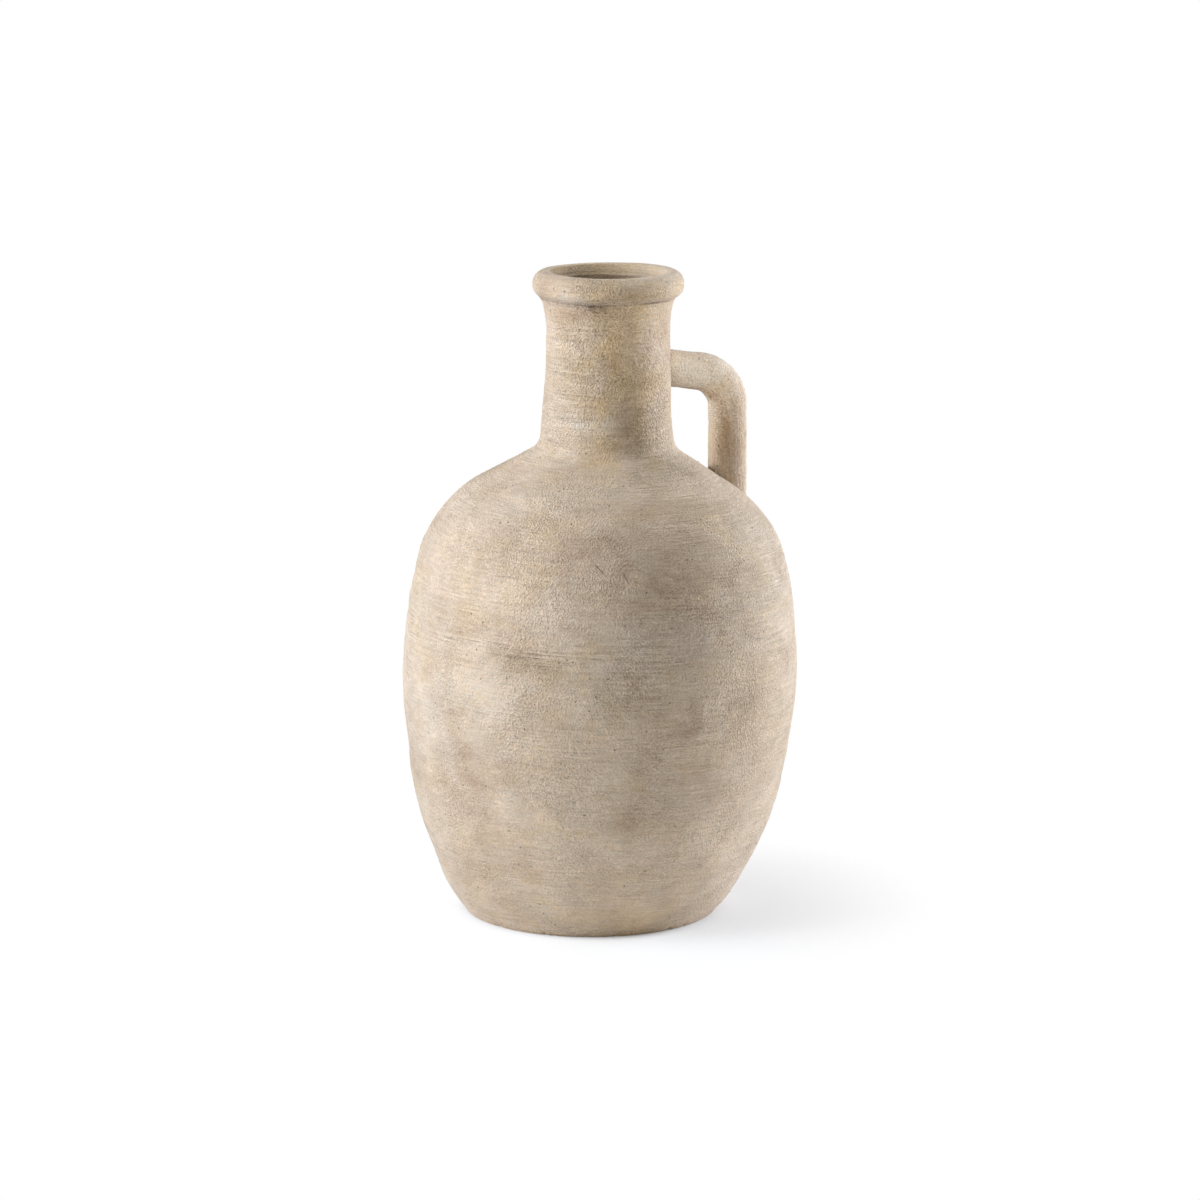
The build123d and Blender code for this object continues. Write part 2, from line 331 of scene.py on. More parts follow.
def stand(radius, height, angle):
    """Where a point of a ring lies on the leaning jug."""
    tilt = LEAN * smooth(height, 0, FOOT_LEVEL) * (1 - smooth(height, RIM_LEVEL, HEIGHT))
    across = radius * np.cos(angle)
    x = across * np.cos(tilt) + height * math.sin(LEAN)
    y = radius * np.sin(angle)
    z = height * math.cos(LEAN) - across * np.sin(tilt)
    drift = FOOT_DRIFT + NECK_DRIFT * swell(height, NECK_DRIFT_Z, NECK_DRIFT_REACH)
    for low, high, amount in DRIFTS:
        drift = drift + amount * smooth(height, low, high)
    x += drift * math.cos(VIEW_AZIMUTH)
    y -= drift * math.sin(VIEW_AZIMUTH)
    return np.stack((x, y, z), -1)


def grooves(height, angle):
    """Finger grooves inside the mouth, from 0 to 1, which climb a little as they run around."""
    wave = 0.5 + 0.5 * np.cos(2 * math.pi * (height + GROOVE_CLIMB * np.cos(angle + 1)) / GROOVE_SPACING)
    return wave * smooth(height, RIM_FROM, RIM_FULL) * (1 - smooth(height, GROOVE_END - 1, GROOVE_END + 1))


def shaped(rows, run, crease, crest, angle):
    """The skin as the hand leaves it: rows by columns by xyz."""
    along = np.gradient(rows, axis=0)
    along /= np.linalg.norm(along, axis=1)[:, None]
    outside = np.arange(len(rows)) <= crease
    push = np.zeros((len(rows), len(angle)))
    for height, reach, amount in SWELLS:
        push += (amount * swell(rows[:, 1], height, reach) * outside)[:, None]
    front = from_front(angle)
    for place, wide, height, reach, amount in SIDES:
        push += amount * np.outer(swell(rows[:, 1], height, reach) * outside, swell(front, place, wide))
    smear = sum(amount * swell((front - place + 180) % 360, 180, reach) for place, reach, amount in SMEARS)
    ripple = 1 + 0.2 * np.cos(31 * angle + 1) + 0.15 * np.cos(53 * angle)
    push += np.outer(swell(run, run[crease] - 0.5, SMEAR_REACH), smear * ripple)
    joint = JOINT_DEPTH * swell(rows[:, 1], BELLY_JOINT_Z, JOINT_REACH) * outside
    push -= np.outer(joint, 0.6 + 0.4 * np.cos(5 * angle + 2))
    chip = sum(depth * swell((front - place + 180) % 360, 180, reach) for place, reach, depth in CHIPS)
    foot_edge = swell(rows[:, 1], FOOT_EDGE / 2, CHIP_REACH) * (rows[:, 0] > CHIP_INNER_R) * outside
    push -= np.outer(foot_edge, chip)
    inside = (np.arange(len(rows)) > crest)[:, None]
    push -= 2 * GROOVE_DEPTH * grooves(rows[:, 1:], angle) * inside
    radius = rows[:, :1] + push * along[:, 1:]
    height = np.maximum(rows[:, 1:] - push * along[:, :1], 0)
    oval = np.cos(2 * (angle - 0.6 - height / 260)) + 0.6 * np.cos(3 * (angle + 1.9 + height / 340))
    rim = smooth(height, RIM_FROM, RIM_FULL)
    radius = radius * (1 + OVAL * oval) + RIM_SPREAD * rim * ~inside
    wave = np.cos(2 * angle + 0.7) + 0.7 * np.cos(3 * angle - 1.1) + 0.4 * np.cos(7 * angle + 2.2)
    height = height + (RIM_WAVE * wave - RIM_DROP) * smooth(height, RIM_DROP_FROM, RIM_DROP_FULL)
    return stand(radius, height, np.broadcast_to(angle, radius.shape))


def wander(points, size, seed):
    """A smooth random value of about one for every point, with waves of about this size."""
    draw = np.random.default_rng(seed)
    total = np.zeros(len(points))
    for wave in range(9):
        way = draw.normal(size=3)
        way *= 2 * math.pi / (np.linalg.norm(way) * size * draw.uniform(0.5, 1.5))
        total += np.sin(points @ way + draw.uniform(0, 2 * math.pi))
    return total / 3


def masks(kinds, points, offsets):
    """Strength of each kind of mark at every point, with edges that wander.

    Offsets gives the distances of all points from a mark, along and across, in millimetres.
    """
    fields = {}
    for seed, kind in enumerate(MARKS):
        field = np.zeros(len(points))
        aside = 0.4 * wander(points, 34, seed) + 0.2 * wander(points, 13, seed + 20)
        askew = 0.4 * wander(points, 30, seed + 40) + 0.2 * wander(points, 11, seed + 60)
        for mark in kinds.get(kind, []):
            along, across = offsets(mark[0], mark[1])
            reach = (along / mark[2] + aside) ** 2 + (across / mark[3] + askew) ** 2
            field = np.maximum(field, mark[4] * np.exp(-reach))
        fields[kind] = field
    return fields


def tube_faces(count, columns, closed):
    """Quads between rings of points, in a closed loop or in an open tube.

    An open tube ends in triangles around two poles, whose points follow those of the rings.
    """
    beside = [(column + 1) % columns for column in range(columns)]
    faces = []
    for row in range(count if closed else count - 1):
        low = row * columns
        high = (row + 1) % count * columns
        faces += [(low + a, low + b, high + b, high + a) for a, b in enumerate(beside)]
    if not closed:
        pole = count * columns
        last_ring = pole - columns
        faces += [(pole, b, a) for a, b in enumerate(beside)]
        faces += [(pole + 1, last_ring + a, last_ring + b) for a, b in enumerate(beside)]
    return faces


def add_mesh(name, points, faces):
    """An object with a smooth mesh."""
    mesh = bpy.data.meshes.new(name)
    mesh.from_pydata(points.tolist(), [], faces)
    mesh.shade_smooth()
    piece = bpy.data.objects.new(name, mesh)
    bpy.context.scene.collection.objects.link(piece)
    return piece


def add_values(mesh, values):
    """Named values of the points, which trees and materials read."""
    for name, given in values.items():
        given = np.ascontiguousarray(given, np.float32)
        vector = given.ndim == 2
        attribute = mesh.attributes.new(name, "FLOAT_VECTOR" if vector else "FLOAT", "POINT")
        attribute.data.foreach_set("vector" if vector else "value", given.ravel())


def add_node(tree, kind, inputs=None, **settings):
    """Adds a node with its settings, and fills its inputs with values or links."""
    node = tree.nodes.new(kind)
    for name, value in settings.items():
        setattr(node, name, value)
    for key, value in (inputs or {}).items():
        if isinstance(value, bpy.types.NodeSocket):
            tree.links.new(value, node.inputs[key])
        else:
            node.inputs[key].default_value = value
    return node


def linear(code):
    """Linear colour of an sRGB hex value."""
    parts = [int(code[k:k + 2], 16) / 255 for k in (1, 3, 5)]
    return (*[c / 12.92 if c <= 0.04045 else ((c + 0.055) / 1.055) ** 2.4 for c in parts], 1.0)


def emptied(owner):
    """The tree of a material or world, without the nodes that it starts with."""
    owner.use_nodes = True
    owner.node_tree.nodes.clear()
    return owner.node_tree


def per_metre(size):
    """Scale of a pattern whose features are this many millimetres apart."""
    return 1000 / size


def brushed_earthenware():
    """Unglazed earthenware, stained brown, then brushed with a pale wash that is thick here and thin there.

    It is dry, dusty and matt. The eye finds soft clouds of beige, rose, olive and grey, fine brush texture
    that runs mostly around the pot, sandy grain, a few open pores and bare clay where the foot was ground.
    """
    material = bpy.data.materials.new("brushed_earthenware")
    tree = emptied(material)
    place = add_node(tree, "ShaderNodeTexCoord").outputs["Object"]
    brush = add_node(tree, "ShaderNodeAttribute", attribute_name="brush").outputs["Vector"]
    marks = {
        kind: add_node(tree, "ShaderNodeAttribute", attribute_name=kind).outputs["Fac"] for kind in MARKS}

    # Each pattern: its coordinates, how far it is drawn out around the pot, its size in millimetres, then
    # detail, roughness and distortion
    patterns = {
        "cloud": (place, 1, 80, 4.0, 0.6, 0.3),         # slow changes of hue and cover
        "blotch": (brush, 1.35, 30, 6.0, 0.66, 0.4),    # blotches that the rag drew out
        "zone": (place, 1, 40, 2.0, 0.5, 0.0),          # where sand and brush lines are strong
        "grain": (place, 1, 1.05, 0.5, 0.5, 0.3),       # sandy grain all over
        "dash": (brush, 3.4, 6, 3.0, 0.7, 0.0),         # short dashes of the brush
        "line": (brush, 26, 32, 2.0, 0.6, 0.2),         # long lines of the brush
    }
    noise = {}
    for name, (vector, drawn, size, detail, roughness, distortion) in patterns.items():
        vector = add_node(tree, "ShaderNodeMapping", {"Vector": vector, "Scale": (1, 1, drawn)}).outputs[0]
        noise[name] = add_node(tree, "ShaderNodeTexNoise", {
            "Vector": vector, "Scale": per_metre(size), "Detail": detail, "Roughness": roughness,
            "Distortion": distortion}).outputs
    cloud, blotch, zone, fleck = [
        add_node(tree, "ShaderNodeSeparateColor", {0: noise[name][1]}).outputs
        for name in ("cloud", "blotch", "zone", "dash")]

    # Fine texture: sandy grain, short dashes, and lines of the brush in bands
    grain = add_node(tree, "ShaderNodeMath", {
        0: noise["grain"][0], 1: 0.5}, operation="SUBTRACT").outputs[0]
    sandy = add_node(tree, "ShaderNodeMapRange", {
        "Value": zone[2], "From Min": 0.35, "From Max": 0.65, "To Min": 0.5, "To Max": 1.2}).outputs[0]
    sandy = add_node(tree, "ShaderNodeMath", {
        0: marks["gritty"], 1: 0.55, 2: sandy}, operation="MULTIPLY_ADD").outputs[0]
    grain = add_node(tree, "ShaderNodeMath", {0: grain, 1: sandy}, operation="MULTIPLY").outputs[0]
    dashes = add_node(tree, "ShaderNodeMath", {
        0: fleck[0], 1: 0.7, 2: -0.35}, operation="MULTIPLY_ADD").outputs[0]
    lines = add_node(tree, "ShaderNodeMath", {0: noise["line"][0], 1: 0.5}, operation="SUBTRACT").outputs[0]
    band = add_node(tree, "ShaderNodeMapRange", {
        "Value": zone[0], "From Min": 0.4, "From Max": 0.7, "To Min": 0.35, "To Max": 0.95}).outputs[0]
    band = add_node(tree, "ShaderNodeMath", {0: marks["brushed"], 1: band}, operation="ADD").outputs[0]
    fine = add_node(tree, "ShaderNodeMath", {0: dashes, 1: grain}, operation="ADD").outputs[0]
    fine = add_node(tree, "ShaderNodeMath", {
        0: lines, 1: band, 2: fine}, operation="MULTIPLY_ADD").outputs[0]

    # Shares from 0 to 1, each a start and its parts with their weights. Cover is that of the wash: thin
    # where the stain was rubbed back, thick where it was put on again, caught on high grain. Tint takes the
    # stain from rose to olive. Cool and warm take the wash to grey and to ochre.
    stain = add_node(tree, "ShaderNodeMath", {
        0: marks["rose"], 1: marks["olive"]}, operation="MAXIMUM").outputs[0]
    lean = add_node(tree, "ShaderNodeMath", {
        0: marks["olive"], 1: marks["rose"]}, operation="SUBTRACT").outputs[0]
    sums = {
        "cover": (-0.53, ((blotch[0], 1.4), (cloud[0], 0.9), (stain, -0.5), (marks["wash"], 0.4),
                          (fine, 0.7))),
        "tint": (-1.5, ((cloud[1], 2.4), (fleck[1], 1.6), (lean, 0.6))),
        "cool": (-2.0, ((cloud[2], 2.2), (fleck[2], 2.6), (marks["grey"], 0.7))),
        "warm": (-1.8, ((blotch[1], 2.6), (fleck[1], 1.2), (marks["ochre"], 0.5))),
    }
    share = {}
    for name, (total, parts) in sums.items():
        for part, weight in parts:
            total = add_node(tree, "ShaderNodeMath", {
                0: part, 1: weight, 2: total}, operation="MULTIPLY_ADD").outputs[0]
        total.node.use_clamp = True
        share[name] = total

    # The stained ground, and the wash over it
    ground = add_node(tree, "ShaderNodeMix", {
        0: share["tint"], 6: linear("#AD957E"), 7: linear("#A9967C")}, data_type="RGBA").outputs[2]
    brown = add_node(tree, "ShaderNodeMath", {
        0: marks["ochre"], 1: 0.6}, operation="MULTIPLY", use_clamp=True).outputs[0]
    ground = add_node(tree, "ShaderNodeMix", {
        0: brown, 6: ground, 7: linear("#A38860")}, data_type="RGBA").outputs[2]
    wash = add_node(tree, "ShaderNodeMix", {
        0: share["cool"], 6: linear("#D6C1A9"), 7: linear("#CEC3B3")}, data_type="RGBA").outputs[2]
    wash = add_node(tree, "ShaderNodeMix", {
        0: share["warm"], 6: wash, 7: linear("#D2BA94")}, data_type="RGBA").outputs[2]
    colour = add_node(tree, "ShaderNodeMix", {
        0: share["cover"], 6: ground, 7: wash}, data_type="RGBA").outputs[2]
    shade = add_node(tree, "ShaderNodeMath", {
        0: fine, 1: 0.45, 2: 1.0}, operation="MULTIPLY_ADD").outputs[0]
    colour = add_node(tree, "ShaderNodeVectorMath", {
        0: colour, "Scale": shade}, operation="SCALE").outputs[0]

    # Open pores, in some cells of a coarse pattern only
    pores = add_node(tree, "ShaderNodeTexVoronoi", {"Vector": place, "Scale": per_metre(3.6)}).outputs
    chosen = add_node(tree, "ShaderNodeSeparateColor", {0: pores["Color"]}).outputs[0]
    pitted = add_node(tree, "ShaderNodeMath", {
        0: marks["pitted"], 1: -0.7, 2: 0.95}, operation="MULTIPLY_ADD").outputs[0]
    chosen = add_node(tree, "ShaderNodeMath", {0: chosen, 1: pitted}, operation="GREATER_THAN").outputs[0]
    pore = add_node(tree, "ShaderNodeMapRange", {
        "Value": pores["Distance"], "From Min": 0.22, "From Max": 0.1, "To Min": 0.0,
        "To Max": 0.6}).outputs[0]
    pore = add_node(tree, "ShaderNodeMath", {0: pore, 1: chosen}, operation="MULTIPLY").outputs[0]

    # Scratches, from the distance across and along the nearest one
    scratch = add_node(tree, "ShaderNodeAttribute", attribute_name="scratch").outputs["Vector"]
    scratch = add_node(tree, "ShaderNodeSeparateXYZ", {0: scratch}).outputs
    across = add_node(tree, "ShaderNodeMath", {0: scratch[0]}, operation="ABSOLUTE").outputs[0]
    along = add_node(tree, "ShaderNodeMath", {0: scratch[1]}, operation="ABSOLUTE").outputs[0]
    groove = add_node(tree, "ShaderNodeMapRange", {
        "Value": across, "From Min": 1.0, "From Max": 0.3, "To Min": 0.0, "To Max": 0.5}).outputs[0]
    ends = add_node(tree, "ShaderNodeMapRange", {
        "Value": along, "From Min": 1.0, "From Max": 0.4}).outputs[0]
    groove = add_node(tree, "ShaderNodeMath", {0: groove, 1: ends}, operation="MULTIPLY").outputs[0]
    # Painted shade in the crease under the rim, deep in the throat and at the handle's joints, with a brown
    # stain under the crease and dark grooves, darkens the colour as the pores and scratches do
    shade_and_dirt = add_node(tree, "ShaderNodeAttribute", attribute_name="shade_and_dirt").outputs["Fac"]
    shade_and_dirt = add_node(tree, "ShaderNodeMath", {0: shade_and_dirt, 1: blotch[2]}, operation="MULTIPLY").outputs[0]
    dark = pore
    for part in (groove, shade_and_dirt):
        dark = add_node(tree, "ShaderNodeMath", {0: dark, 1: part}, operation="MAXIMUM").outputs[0]
    colour = add_node(tree, "ShaderNodeMix", {
        0: dark, 6: colour, 7: linear("#5E4B3C")}, data_type="RGBA").outputs[2]
    bare = add_node(tree, "ShaderNodeAttribute", attribute_name="bare").outputs["Fac"]
    colour = add_node(tree, "ShaderNodeMix", {
        0: bare, 6: colour, 7: linear("#C2A581")}, data_type="RGBA").outputs[2]

    # Relief of the fine texture, with pores, scratches and the painted shade cut into it
    relief = add_node(tree, "ShaderNodeMath", {
        0: dark, 1: -1.0, 2: fine}, operation="MULTIPLY_ADD").outputs[0]
    bump = add_node(tree, "ShaderNodeBump", {
        "Strength": 1.0, "Distance": 0.9 * MM, "Height": relief}).outputs[0]
    shader = add_node(tree, "ShaderNodeBsdfPrincipled", {
        "Base Color": colour, "Roughness": 0.92, "Specular IOR Level": 0.2, "Sheen Weight": 0.2,
        "Sheen Roughness": 0.6, "Normal": bump})
    add_node(tree, "ShaderNodeOutputMaterial", {"Surface": shader.outputs[0]})
    return material


def fired_grog():
    """Grains of crushed fired clay in the wall, dusted with the wash: paler and drier than the clay."""
    material = bpy.data.materials.new("fired_grog")
    tree = emptied(material)
    place = add_node(tree, "ShaderNodeTexCoord").outputs["Object"]
    dust = add_node(tree, "ShaderNodeTexNoise", {
        "Vector": place, "Scale": per_metre(3), "Detail": 2.0}).outputs[0]
    dust = add_node(tree, "ShaderNodeMapRange", {
        "Value": dust, "From Min": 0.35, "From Max": 0.65}).outputs[0]
    colour = add_node(tree, "ShaderNodeMix", {
        0: dust, 6: linear("#B79F84"), 7: linear("#D9CCB8")}, data_type="RGBA").outputs[2]
    shader = add_node(tree, "ShaderNodeBsdfPrincipled", {
        "Base Color": colour, "Roughness": 0.95, "Specular IOR Level": 0.2})
    add_node(tree, "ShaderNodeOutputMaterial", {"Surface": shader.outputs[0]})
    return material


def new_tree(name, inputs):
    """An empty Geometry Nodes tree with named inputs, and its input sockets."""
    tree = bpy.data.node_groups.new(name, "GeometryNodeTree")
    for label, kind in (("Geometry", "Geometry"), *inputs):
        tree.interface.new_socket(label, in_out="INPUT", socket_type="NodeSocket" + kind)
    tree.interface.new_socket("Geometry", in_out="OUTPUT", socket_type="NodeSocketGeometry")
    return tree, add_node(tree, "NodeGroupInput").outputs


def thrown_clay_tree():
    """Moves every point along its normal: dents of the hand, throwing rings and small lumps."""
    sizes = ("Dent size", "Dent depth", "Ring spacing", "Ring depth", "Lump size", "Lump depth")
    tree, given = new_tree("thrown_clay", [(name, "Float") for name in sizes] + [("Clay", "Material")])
    place = add_node(tree, "GeometryNodeInputPosition").outputs[0]
    brush = add_node(tree, "GeometryNodeInputNamedAttribute", {
        "Name": "brush"}, data_type="FLOAT_VECTOR").outputs[0]
    give = add_node(tree, "GeometryNodeInputNamedAttribute", {
        "Name": "give"}, data_type="FLOAT_VECTOR").outputs[0]
    give = add_node(tree, "ShaderNodeSeparateXYZ", {0: give}).outputs
    rings = add_node(tree, "ShaderNodeVectorMath", {
        0: brush, 1: (0.12, 0.12, 1.0)}, operation="MULTIPLY").outputs[0]
    total = 0.0
    for vector, size, depth, share in ((place, "Dent size", "Dent depth", give[0]),
                                       (rings, "Ring spacing", "Ring depth", give[1]),
                                       (place, "Lump size", "Lump depth", give[2])):
        scale = add_node(tree, "ShaderNodeMath", {0: 1.0, 1: given[size]}, operation="DIVIDE").outputs[0]
        noise = add_node(tree, "ShaderNodeTexNoise", {
            "Vector": vector, "Scale": scale, "Detail": 1.5}, normalize=False).outputs[0]
        push = add_node(tree, "ShaderNodeMath", {
            0: noise, 1: given[depth]}, operation="MULTIPLY").outputs[0]
        total = add_node(tree, "ShaderNodeMath", {
            0: push, 1: share, 2: total}, operation="MULTIPLY_ADD").outputs[0]
    normal = add_node(tree, "GeometryNodeInputNormal").outputs[0]
    offset = add_node(tree, "ShaderNodeVectorMath", {
        0: normal, "Scale": total}, operation="SCALE").outputs[0]
    moved = add_node(tree, "GeometryNodeSetPosition", {
        "Geometry": given["Geometry"], "Offset": offset}).outputs[0]
    real = add_node(tree, "GeometryNodeRealizeInstances", {"Geometry": moved}).outputs[0]
    coated = add_node(tree, "GeometryNodeSetMaterial", {
        "Geometry": real, "Material": given["Clay"]}).outputs[0]
    add_node(tree, "NodeGroupOutput", {"Geometry": coated})
    return tree


def grog_tree():
    """Scatters angular grains over the wall, each sunk in it by half."""
    tree, given = new_tree("grog", [
        ("Density", "Float"), ("Least radius", "Float"), ("Most radius", "Float"), ("Seed", "Int"),
        ("Grog", "Material")])
    share = add_node(tree, "GeometryNodeInputNamedAttribute", {
        "Name": "outside"}, data_type="FLOAT").outputs[0]
    density = add_node(tree, "ShaderNodeMath", {
        0: share, 1: given["Density"]}, operation="MULTIPLY").outputs[0]
    spots = add_node(tree, "GeometryNodeDistributePointsOnFaces", {
        "Mesh": given["Geometry"], "Density": density, "Seed": given["Seed"]})
    grain = add_node(tree, "GeometryNodeMeshIcoSphere", {"Radius": 1.0, "Subdivisions": 1}).outputs[0]
    size = add_node(tree, "FunctionNodeRandomValue", {
        "Min": given["Least radius"], "Max": given["Most radius"], "Seed": 3}, data_type="FLOAT")
    squash = add_node(tree, "ShaderNodeCombineXYZ", {0: 1.0, 1: 0.8, 2: 0.6}).outputs[0]
    scale = add_node(tree, "ShaderNodeVectorMath", {
        0: squash, "Scale": size.outputs["Value"]}, operation="SCALE").outputs[0]
    grains = add_node(tree, "GeometryNodeInstanceOnPoints", {
        "Points": spots.outputs["Points"], "Instance": grain, "Rotation": spots.outputs["Rotation"],
        "Scale": scale}).outputs[0]
    twist = add_node(tree, "FunctionNodeRandomValue", {
        "Max": 6.28, "Seed": 5}, data_type="FLOAT").outputs["Value"]
    twist = add_node(tree, "ShaderNodeCombineXYZ", {2: twist}).outputs[0]
    grains = add_node(tree, "GeometryNodeRotateInstances", {
        "Instances": grains, "Rotation": twist}).outputs[0]
    real = add_node(tree, "GeometryNodeRealizeInstances", {"Geometry": grains}).outputs[0]
    coated = add_node(tree, "GeometryNodeSetMaterial", {
        "Geometry": real, "Material": given["Grog"]}).outputs[0]
    add_node(tree, "NodeGroupOutput", {"Geometry": coated})
    return tree


def run_tree(piece, tree, values):
    """The plain mesh that a Geometry Nodes tree makes of a piece."""
    modifier = piece.modifiers.new(tree.name, "NODES")
    modifier.node_group = tree
    for item in tree.interface.items_tree:
        if item.in_out == "INPUT" and item.name in values:
            modifier[item.identifier] = values[item.name]
    graph = bpy.context.evaluated_depsgraph_get()
    mesh = bpy.data.meshes.new_from_object(piece.evaluated_get(graph))
    piece.modifiers.remove(modifier)
    return mesh


def points_of(mesh):
    """Points and normals of a mesh."""
    points = np.empty(len(mesh.vertices) * 3, np.float32)
    normals = np.empty(len(mesh.vertices) * 3, np.float32)
    mesh.vertices.foreach_get("co", points)
    mesh.vertices.foreach_get("normal", normals)
    return points.reshape(-1, 3).astype(float), normals.reshape(-1, 3).astype(float)


def clay_piece(name, points, normals, values, faces, nodes):
    """A finished piece of clay that stands for its nodes."""
    piece = add_mesh(name, points, faces)
    add_values(piece.data, values)
    piece.data.normals_split_custom_set_from_vertices(normals.tolist())
    piece.data.materials.append(clay)
    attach(piece, "root")
    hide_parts(*nodes)
    return piece


clay = brushed_earthenware()
clay_tree = thrown_clay_tree()
HAND = {"Dent size": 48 * MM, "Dent depth": 0.9 * MM, "Ring spacing": 8 * MM, "Ring depth": 0.2 * MM,
        "Lump size": 9 * MM, "Lump depth": 0.16 * MM, "Clay": clay}

# The skin of the whole pot, shaped in one so that its pieces meet without a step
rows, crease, crest, mouth = outline()
steps = np.linalg.norm(np.diff(rows, axis=0), axis=1)
run = rows[0, 0] + np.concatenate(([0.0], np.cumsum(steps)))
angle = np.arange(COLUMNS) * 2 * math.pi / COLUMNS
ends = np.array((stand(0.0, rows[0, 1], 0.0), stand(0.0, rows[-1, 1], 0.0)))
points = np.vstack((shaped(rows, run, crease, crest, angle).reshape(-1, 3), ends)) * MM
row_of = np.append(np.repeat(np.arange(len(rows)), COLUMNS), (0, len(rows) - 1))
turn_of = np.append(np.tile(angle, len(rows)), (0.0, 0.0))
high, wide, far = rows[row_of, 1], rows[row_of, 0], run[row_of]
outer = row_of <= mouth
front = from_front(turn_of)
rising = slice(10, crease + 20)     # rows of the outer side, each higher than the one before


def from_mark(place, height):
    """Distances of the skin's points from a mark: around the pot, and along its outline."""
    line = np.interp(height, rows[rising, 1], run[rising])
    return np.radians((front - place + 180) % 360 - 180) * np.maximum(wide, 5), far - line


def from_scratches():
    """Distance across and along the nearest scratch, in its half widths and half lengths."""
    nearest_far = np.full(len(points), 1e9)
    field = np.zeros((len(points), 3))
    for place, height, slope, length, width in SCRATCHES:
        aside, up = from_mark(place, height)
        cos, sin = math.cos(math.radians(slope)), math.sin(math.radians(slope))
        across = (up * cos - aside * sin) / width
        along = (aside * cos + up * sin) / length
        reach = np.hypot(aside, up)
        closer = reach < nearest_far
        nearest_far[closer] = reach[closer]
        field[closer, :2] = np.column_stack((across, along))[closer]
    return field


# The unseen side carries marks like those of the front, at places of its own
hidden = np.random.default_rng(11)
back_marks = {kind: [(hidden.uniform(75, 285), hidden.uniform(20, 380), *mark[2:]) for mark in marks]
              for kind, marks in MARKS.items()}
pot_marks = {kind: MARKS[kind] + back_marks[kind] for kind in MARKS}
skin_values = masks(pot_marks, points / MM, from_mark)
inside = row_of > crest
# Painted shade: a dark line in the crease under the rim, most at two places, and a band just above it on
# the rim's underside, below the smears
shade_and_dirt = swell(far, run[crease], 0.9) * (0.1 + 0.7 * swell(front, 40, 22) + 1.6 * swell(front, -12, 12))
shade_and_dirt += 0.55 * swell(far, run[crease] + 1.5, 3.0)
# A brown stain just under the crease at the front
shade_and_dirt += 0.7 * swell(far, run[crease] - 2.2, 2.4) * swell(front, -9, 9)
# Painted shade deep in the throat, and the throat darker in its grooves
shade_and_dirt += inside * (1.9 * (1 - smooth(high, 390, 395.5)) + 0.4 * grooves(high, turn_of))
skin_values["shade_and_dirt"] = shade_and_dirt
for kind, amount in (("ochre", 0.8), ("wash", 1.2)):
    throat_cover = amount * inside * smooth(high, RIM_FROM, RIM_FULL)
    skin_values[kind] = np.maximum(skin_values[kind], throat_cover)
# Bare clay where the foot was ground
skin_values["bare"] = np.where(outer, 1 - smooth(high, 0.3, 2.2), 0.0)
skin_values["scratch"] = from_scratches()
skin_values["brush"] = np.column_stack((points[:, :2], far * MM))
# How far the clay gives to the hand: not at the foot and little at the rim, with deeper rings in the throat
give = np.where(outer, smooth(high, 0.2, 8.0), 1.0) * (1 - 0.7 * smooth(high, 372, 386))
throat = np.where(outer, 0.0, smooth(high, 280, 300))
skin_values["give"] = np.column_stack((give, give * (1 + 2 * throat), give))
skin_values["outside"] = (outer & (high > GROG_FROM) & (high < GROG_TO)).astype(float)
faces = tube_faces(len(rows), COLUMNS, False)
skin = add_mesh("skin", points, faces)
add_values(skin.data, skin_values)
skin.data = run_tree(skin, clay_tree, HAND)
skin_points, skin_normals = points_of(skin.data)
skin_shape = BVHTree.FromPolygons([Vector(p) for p in skin_points], faces)

# Grains of grog in the wall
grog = run_tree(skin, grog_tree(), {
    "Density": 480.0, "Least radius": 0.35 * MM, "Most radius": 0.85 * MM, "Seed": 4, "Grog": fired_grog()})
grains = bpy.data.objects.new("grog_grains", grog)
bpy.context.scene.collection.objects.link(grains)
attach(grains, "root")
bpy.data.objects.remove(skin)


def nearest(first, last, height):
    """The row from first up to last, without last, that is nearest to a height."""
    return first + int(np.abs(rows[first:last, 1] - height).argmin())


# The thrown pieces and the rolled rim, cut from the skin at the joints
floor_row = len(rows) - 1
belly_out = nearest(0, crease, BELLY_JOINT_Z)
neck_out = nearest(0, crease, NECK_JOINT_Z)
lip_in = nearest(mouth, floor_row, LIP_Z)
neck_in = nearest(mouth, floor_row, NECK_JOINT_Z)
belly_in = nearest(mouth, floor_row, BELLY_JOINT_Z)
THROWN = {
    "lower_body_clay": ((0, belly_out), (belly_in, floor_row), ["lower_body", "belly_slip"]),
    "upper_body_clay": ((belly_out, neck_out), (neck_in, belly_in), ["upper_body", "neck_slip"]),
    "neck_clay": ((neck_out, crease), (lip_in, neck_in), ["neck", "rim_slip"]),
    "rim_clay": ((crease, mouth), (mouth + 1, lip_in), ["rim_roll"]),
}
kept = {kind: given for kind, given in skin_values.items() if kind not in ("give", "outside")}
for name, (outer_rows, inner_rows, nodes) in THROWN.items():
    loop = [*range(outer_rows[0], outer_rows[1] + 1), *range(inner_rows[0], inner_rows[1] + 1)]
    used = np.concatenate([np.arange(COLUMNS) + row * COLUMNS for row in loop])
    has_poles = "lower_body" in nodes
    if has_poles:
        used = np.append(used, (len(points) - 2, len(points) - 1))
    values = {kind: given[used] for kind, given in kept.items()}
    piece_faces = tube_faces(len(loop), COLUMNS, not has_poles)
    clay_piece(name, skin_points[used], skin_normals[used], values, piece_faces, nodes)

